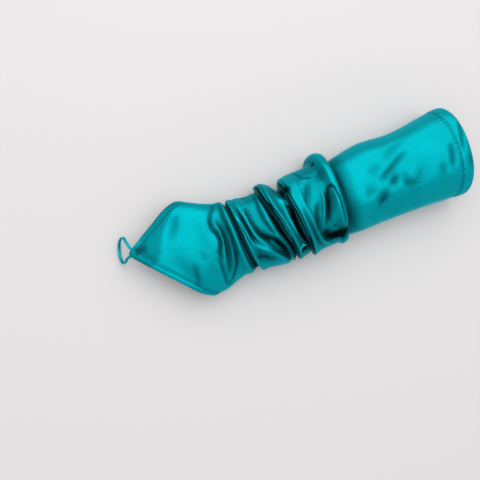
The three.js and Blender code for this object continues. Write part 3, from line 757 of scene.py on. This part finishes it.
def rim_arc(start, end, bulge):
    """Rings of a half round from one ring to another, past them by half their distance."""
    turns = np.linspace(0, np.pi, RIM_STEPS + 2)[1:-1, None, None]
    middle = (start + end) / 2
    radius = np.linalg.norm(start - end, axis=-1, keepdims=True) / 2
    return middle + (start - middle) * np.cos(turns) + bulge * radius * np.sin(turns)


def wall(outer, inner):
    """Closed wall between two grids, its edges rounded as folds: one grid closed both ways."""
    arm = rim_arc(outer[-1], inner[-1], unit(outer[-1] - outer[-2]))
    hand = rim_arc(inner[0], outer[0], unit(outer[0] - outer[1]))
    return np.concatenate([outer, arm, inner[::-1], hand])


def closed_faces(rows):
    """Faces of a grid that closes along both axes, with a point for each column in a row."""
    i, j = np.meshgrid(np.arange(rows), np.arange(AROUND), indexing="ij")
    here = i * AROUND
    down = (i + 1) % rows * AROUND
    side = (j + 1) % AROUND
    return np.stack([here + j, here + side, down + side, down + j], -1).reshape(-1, 4)


def tube_faces(rings, sides, first=0):
    """Faces of a tube with flat ends, whose first point has the given number."""
    faces = []
    for ring in range(first, first + (rings - 1) * sides, sides):
        for k in range(sides):
            beside = (k + 1) % sides
            faces.append((ring + k, ring + beside, ring + sides + beside, ring + sides + k))
    last = first + (rings - 1) * sides
    faces.append(tuple(first + k for k in reversed(range(sides))))
    faces.append(tuple(last + k for k in range(sides)))
    return faces


def cloth_places(points):
    """Place of each point on the unrolled cloth, in metres: round it and along it."""
    around = np.linalg.norm(np.roll(points, -1, 1) - points, axis=-1)
    length = np.linalg.norm(np.diff(points, axis=0), axis=-1)
    u = np.cumsum(around, 1) - around
    v = np.concatenate([np.zeros((1, points.shape[1])), np.cumsum(length, 0)])
    return np.stack([u, v], -1) * MM


def new_piece(name, points, faces, materials, slot, face_material=None, flat=None, shade=None):
    """A mesh that rides on the mitten. flat gives its points' places on the cut cloth, and
    shade how much light each of them gets between the folds."""
    mesh = bpy.data.meshes.new(name)
    mesh.from_pydata(to_frame(points.reshape(-1, 3)).tolist(), [],
                      [list(map(int, face)) for face in faces])
    mesh.update()
    for material in materials:
        mesh.materials.append(material)
    if face_material is not None:
        mesh.polygons.foreach_set("material_index", np.asarray(face_material, np.int32))
    mesh.shade_smooth()
    if flat is not None:
        layer = mesh.uv_layers.new(name="cloth")
        corner = np.empty(len(mesh.loops), np.int32)
        mesh.loops.foreach_get("vertex_index", corner)
        layer.data.foreach_set("uv", flat.reshape(-1, 2).astype(np.float32)[corner].ravel())
    sky = mesh.attributes.new("open_sky", "FLOAT", "POINT")
    seen = np.ones(len(mesh.vertices)) if shade is None else shade.ravel()
    sky.data.foreach_set("value", np.asarray(seen, np.float32))
    piece = bpy.data.objects.new(name, mesh)
    bpy.context.scene.collection.objects.link(piece)
    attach(piece, "root")
    return piece


def new_material(name):
    """A material, its node tree and its main shader."""
    material = bpy.data.materials.new(name)
    material.use_nodes = True
    tree = material.node_tree
    return material, tree, tree.nodes["Principled BSDF"]


def node(tree, kind, **settings):
    made = tree.nodes.new(kind)
    for name, value in settings.items():
        setattr(made, name, value)
    return made


def set_sockets(shader, values):
    for name, value in values.items():
        shader.inputs[name].default_value = value


def noise(tree, vector, scale, detail, roughness):
    made = node(tree, "ShaderNodeTexNoise")
    set_sockets(made, {"Scale": scale, "Detail": detail, "Roughness": roughness})
    tree.links.new(vector, made.inputs["Vector"])
    return made.outputs["Fac"]


def bump(tree, height, strength, distance, under=None):
    made = node(tree, "ShaderNodeBump")
    set_sockets(made, {"Strength": strength, "Distance": distance})
    tree.links.new(height, made.inputs["Height"])
    if under is not None:
        tree.links.new(under, made.inputs["Normal"])
    return made.outputs["Normal"]


def map_range(tree, value, low, high, to_low, to_high, clamp=True):
    made = node(tree, "ShaderNodeMapRange", clamp=clamp)
    set_sockets(made, {"From Min": low, "From Max": high, "To Min": to_low, "To Max": to_high})
    tree.links.new(value, made.inputs["Value"])
    return made.outputs["Result"]


def mix(tree, kind, factor, first, second):
    made = node(tree, "ShaderNodeMix", data_type="RGBA", blend_type=kind)
    for name, value in (("Factor", factor), ("A", first), ("B", second)):
        if isinstance(value, bpy.types.NodeSocket):
            tree.links.new(value, made.inputs[name])
        else:
            made.inputs[name].default_value = value
    return made.outputs["Result"]


def satin_material(name, bright, deep, roughness, metallic, sheen, folds):
    """Woven satin: a glossy face of long floating threads, with slubs and soft mottling."""
    material, tree, shader = new_material(name)
    set_sockets(shader, {**SATIN_LOOK, "Metallic": metallic, "Sheen Weight": sheen})
    place = node(tree, "ShaderNodeTexCoord").outputs["Object"]
    stretched = node(tree, "ShaderNodeMapping")
    set_sockets(stretched, {"Scale": WEAVE_STRETCH})
    tree.links.new(place, stretched.inputs["Vector"])
    weave = noise(tree, stretched.outputs["Vector"], *WEAVE_NOISE)
    mottle = noise(tree, place, *MOTTLE_NOISE)
    slub = noise(tree, stretched.outputs["Vector"], *SLUB_NOISE)
    share = node(tree, "ShaderNodeMath", operation="ADD")
    tree.links.new(map_range(tree, mottle, *MOTTLE_RANGE, 0, MOTTLE_DEEP), share.inputs[0])
    tree.links.new(map_range(tree, weave, *NOISE_RANGE, 0, WEAVE_DEEP), share.inputs[1])
    colour = mix(tree, "MIX", share.outputs["Value"], bright, deep)
    # Painted shade: the base colour is darkened where the folds about a point hide the sky
    if folds:
        sky = node(tree, "ShaderNodeAttribute", attribute_name="open_sky").outputs["Fac"]
        lit = node(tree, "ShaderNodeMath", operation="MAXIMUM")
        lit.inputs[1].default_value = FOLD_SHADE
        tree.links.new(map_range(tree, sky, *FOLD_DARK, FOLD_SHADE, 1, clamp=False),
                       lit.inputs[0])
        colour = mix(tree, "MULTIPLY", 1.0, colour, lit.outputs["Value"])
    tree.links.new(colour, shader.inputs["Base Color"])
    rough = [roughness + change for change in SLUB_ROUGHNESS]
    tree.links.new(map_range(tree, slub, *NOISE_RANGE, *rough), shader.inputs["Roughness"])
    woven = bump(tree, weave, *WEAVE_BUMP)
    tree.links.new(bump(tree, mottle, *MOTTLE_BUMP, woven), shader.inputs["Normal"])
    return material


def thread_material(name, colour):
    """Twisted sewing thread: a matt strand with a fine, uneven twist."""
    material, tree, shader = new_material(name)
    set_sockets(shader, THREAD_LOOK)
    place = node(tree, "ShaderNodeTexCoord").outputs["Object"]
    twist = noise(tree, place, *TWIST_NOISE)
    dark = tuple(TWIST_DARK * part for part in colour[:3]) + (1,)
    tree.links.new(mix(tree, "MIX", twist, colour, dark), shader.inputs["Base Color"])
    tree.links.new(map_range(tree, twist, *NOISE_RANGE, *TWIST_ROUGHNESS),
                   shader.inputs["Roughness"])
    tree.links.new(bump(tree, twist, *TWIST_BUMP), shader.inputs["Normal"])
    return material


satin = satin_material("satin_face", SATIN_BRIGHT, SATIN_DEEP, roughness=0.3, metallic=0.8,
                       sheen=0.3, folds=True)
satin_back = satin_material("satin_back", BACK_BRIGHT, BACK_DEEP, roughness=0.62, metallic=0.1,
                            sheen=0.1, folds=False)
thread = thread_material("thread_teal", THREAD_COLOUR)


def sleeve_piece():
    """The satin tube: its outer face, arm fold, inner face and hand fold."""
    points = wall(grid, grid - outward(grid) * CLOTH)
    x, rise, light = lie(grid_places)
    sky = evened(openness(x, rise) ** SKY_CONTRAST) * light
    ends = np.ones((RIM_STEPS, AROUND))
    shade = np.concatenate([sky, ends, sky[::-1], ends])
    flat = cloth_places(grid)
    flat = np.concatenate([flat, np.repeat(flat[-1:], RIM_STEPS, 0), flat[::-1],
                           np.repeat(flat[:1], RIM_STEPS, 0)])
    rows = len(grid)
    ring_of_face = np.repeat(np.arange(len(points)), AROUND)
    is_inner = (ring_of_face >= rows + RIM_STEPS // 2) & (ring_of_face < 2 * rows + RIM_STEPS)
    return new_piece("sleeve_cloth", points, closed_faces(len(points)), [satin, satin_back],
                     "satin", is_inner, flat, shade)


sleeve = sleeve_piece()
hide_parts("sleeve")


def hem_piece(name, edge, line, node_name):
    """Band of cloth turned in behind an edge: rows from near the edge to the hem's line."""
    setback = HEM_SETBACK / (HEM_SETBACK + (HAND_HEM if edge == 0 else ARM_HEM))
    at = np.linspace(edge + setback * np.sign(line - edge), line, HEM_STEPS)
    band = surface(np.sort(at))
    facing = outward(band)
    gap = CLOTH + HEM_GAP
    points = wall(band - facing * gap, band - facing * (gap + HEM_CLOTH))
    hidden = np.repeat(np.arange(len(points)), AROUND) < HEM_STEPS
    made = new_piece(name, points, closed_faces(len(points)), [satin, satin_back],
                     "satin_back", hidden)
    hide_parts(node_name)
    return made


hand_hem = hem_piece("hand_hem_cloth", 0, 1, "hand_hem")
arm_hem = hem_piece("arm_hem_cloth", last_row, last_row - 1, "arm_hem")


def across_line(directions, tangents):
    """Unit directions made square to a line's tangents."""
    return unit(directions - tangents * (directions * tangents).sum(1, keepdims=True))


def strands(starts, ends, ups, sink):
    """Points and faces of short threads from start to end, bowed up and sunk at their ends."""
    t = np.linspace(-1, 1, STRAND_RINGS)
    a = np.linspace(0, 2 * np.pi, STRAND_SIDES, endpoint=False)
    half = (ends - starts) / 2
    tangent = unit(half)
    up = across_line(ups, tangent)
    side = np.cross(tangent, up)
    line = (starts + half)[:, None] + half[:, None] * t[:, None]
    bow = THREAD_ARCH - (THREAD_ARCH + sink) * np.abs(t[:, None]) ** STRAND_BOW
    line = line + up[:, None] * bow
    taper, curve = STRAND_TAPER
    thick = THREAD / 2 * np.sqrt(1 - taper * np.abs(t) ** curve)[:, None, None]
    circle = up[:, None, None] * np.cos(a)[:, None] + side[:, None, None] * np.sin(a)[:, None]
    points = line[:, :, None] + thick * circle
    points[..., 2] = np.maximum(0, points[..., 2])
    faces = []
    for number in range(len(starts)):
        faces += tube_faces(STRAND_RINGS, STRAND_SIDES, number * STRAND_RINGS * STRAND_SIDES)
    return points.reshape(-1, 3), faces


def stitch_line(name, at, pitch, length):
    """A row of stitches round the sleeve on one line of the cloth."""
    band = surface(np.array([at - ROW_NUDGE, at, at + ROW_NUDGE]))
    facing = outward(band)[1]
    ring = band[1]
    arc = steps_round(ring)
    count = int(arc[-1] / pitch)
    pitch = arc[-1] / count

    def on_ring(values, where):
        closed = np.concatenate([values, values[:1]])
        return np.stack([np.interp(where % arc[-1], arc, closed[:, k]) for k in range(3)], -1)

    middle = (np.arange(count) + 0.5) * pitch
    starts = on_ring(ring, middle - length / 2)
    ends = on_ring(ring, middle + length / 2)
    ups = on_ring(facing, middle)
    return new_piece(name, *strands(starts, ends, ups, THREAD_SINK), [thread], "satin")


hand_stitches = stitch_line("hand_stitches", HAND_STITCH / (HAND_HEM + HEM_SETBACK),
                            *HAND_THREAD)
arm_stitches = stitch_line("arm_stitches", last_row - ARM_STITCH / (ARM_HEM + HEM_SETBACK),
                           *ARM_THREAD)


def tack_piece():
    """Bar tack at the point: a zigzag of thread that holds the loop's ends."""
    lines = surface(np.linspace(*TACK_PLACES, TACK_COUNT + 1))
    sides = np.where(np.arange(TACK_COUNT + 1) % 2 == 0, -1, 1) * TACK_WIDTH / 2
    corners = lines[:, 0] + unit(lines[:, 1] - lines[:, -1]) * sides[:, None]
    near = np.concatenate([lines[:, -TACK_REACH:], lines[:, :TACK_REACH + 1]], 1)
    for corner, line in zip(corners, near):
        order = np.argsort(line[:, 1])
        corner[2] = np.interp(corner[1], line[order, 1], line[order, 2])
    points, faces = strands(corners[:-1], corners[1:], outward(lines)[1:, 0], TACK_SINK)
    return new_piece("point_tack", points, faces, [thread], "satin")


point_tack = tack_piece()
point = cloth_point(row_x[0, 0], 0.0, columns[0])


def loop_tail(offset):
    """Knots of an end of the loop, which lies under the hem, in from the point."""
    depth = CLOTH + HEM_GAP + HEM_CLOTH + SEW_GAP + LOOP_THICKNESS / 2
    near = columns[0] + np.linspace(-TAIL_ARC, TAIL_ARC, TAIL_COLUMNS)
    tail = []
    for back in (LOOP_TAIL, LOOP_TAIL / 2):
        line = cloth_point(np.full(near.shape, point[0] + back), 0.0, near)
        order = np.argsort(line[:, 1])
        height = np.interp(point[1] + offset, line[order, 1], line[order, 2])
        tail.append((point[0] + back, point[1] + offset, height - depth, 0.0, 0.0, 1.0))
    return tail


def loop_piece():
    """Finger loop: a narrow flat band of satin that leaves the cloth under the point, runs
    in a ring and comes back. Each knot is a place on its middle line and the way its flat
    side faces."""
    turns = np.arange(LOOP_KNOTS) / (LOOP_KNOTS - 1)
    ring = [
        (point[0] - LOOP_REACH * (1 - math.sin(a)) / 2
         + FINGER_SLANT * LOOP_WIDTH / 2 * math.cos(a),
         point[1] + LOOP_OFFSET + LOOP_WIDTH / 2 * math.cos(a),
         LOOP_CORD / 2 + LOOP_HEIGHT / 2 * (1 + math.sin(a)),
         0.0, math.cos(a), math.sin(a))
        for a in np.radians(LOOP_START + (LOOP_END - LOOP_START) * turns)
    ]
    knots = np.array([*loop_tail(LOOP_BREADTH), *ring, *reversed(loop_tail(-LOOP_BREADTH / 2))])
    places = steps_along(knots[:, :3])
    line = smooth(places, knots, np.linspace(0, places[-1], LOOP_STEPS))
    tangent = unit(np.gradient(line[:, :3], axis=0))
    facing = across_line(line[:, 3:], tangent)
    across = np.cross(tangent, facing)
    a = np.linspace(0, 2 * np.pi, LOOP_SIDES, endpoint=False)
    flat_side = power(np.cos(a), LOOP_SQUARE)[:, None] * LOOP_BREADTH / 2
    thin_side = power(np.sin(a), LOOP_SQUARE)[:, None] * LOOP_THICKNESS / 2
    points = line[:, None, :3] + across[:, None] * flat_side + facing[:, None] * thin_side
    return new_piece("finger_loop_band", points, tube_faces(LOOP_STEPS, LOOP_SIDES), [satin],
                     "satin")


finger_loop = loop_piece()
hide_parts("finger_loop")

# Stage
bpy.ops.mesh.primitive_plane_add(size=TABLE_SIZE)
table = bpy.context.object
table.name = "table_top"
paint, _, paint_shader = new_material("table_paint")
set_sockets(paint_shader, {"Base Color": TABLE_COLOUR, "Roughness": TABLE_ROUGHNESS})
table.data.materials.append(paint)


def view_camera():
    """Camera that sees the wrist at its pixel and looks down at the table."""
    focal = VIEW_DISTANCE / PIXEL_SIZE
    back = np.array([-math.sin(VIEW_LEAN), 0, math.cos(VIEW_LEAN)])
    level = np.array([math.cos(VIEW_LEAN), 0, math.sin(VIEW_LEAN)])
    above = np.cross(back, level)
    right = math.cos(VIEW_TURN) * level - math.sin(VIEW_TURN) * above
    upward = math.sin(VIEW_TURN) * level + math.cos(VIEW_TURN) * above
    across, down = np.array(WRIST_PIXEL) - PICTURE / 2
    ray = across * right - down * upward - focal * back
    eye = to_frame(ray * VIEW_DISTANCE * back[2] / ray[2])
    data = bpy.data.cameras.new("camera")
    data.sensor_width = SENSOR
    data.lens = SENSOR * focal / PICTURE
    camera = bpy.data.objects.new("camera", data)
    bpy.context.scene.collection.objects.link(camera)
    camera.matrix_world = Matrix([*zip(right, upward, back, eye), (0, 0, 0, 1)])
    return camera


def soft_light(name, where, size, watts):
    """Square light that faces the part."""
    data = bpy.data.lights.new(name, "AREA")
    data.size = size
    data.energy = watts
    light = bpy.data.objects.new(name, data)
    bpy.context.scene.collection.objects.link(light)
    light.location = where
    light.rotation_euler = (-Vector(where)).to_track_quat("-Z", "Y").to_euler()


bpy.context.scene.camera = view_camera()
soft_light("key_light", KEY_PLACE, KEY_SIZE, KEY_POWER)
bpy.context.scene.view_settings.view_transform = "Standard"
world = bpy.data.worlds.new("room")
world.use_nodes = True
set_sockets(world.node_tree.nodes["Background"], {"Color": ROOM_COLOUR,
                                                  "Strength": ROOM_STRENGTH})
bpy.context.scene.world = world
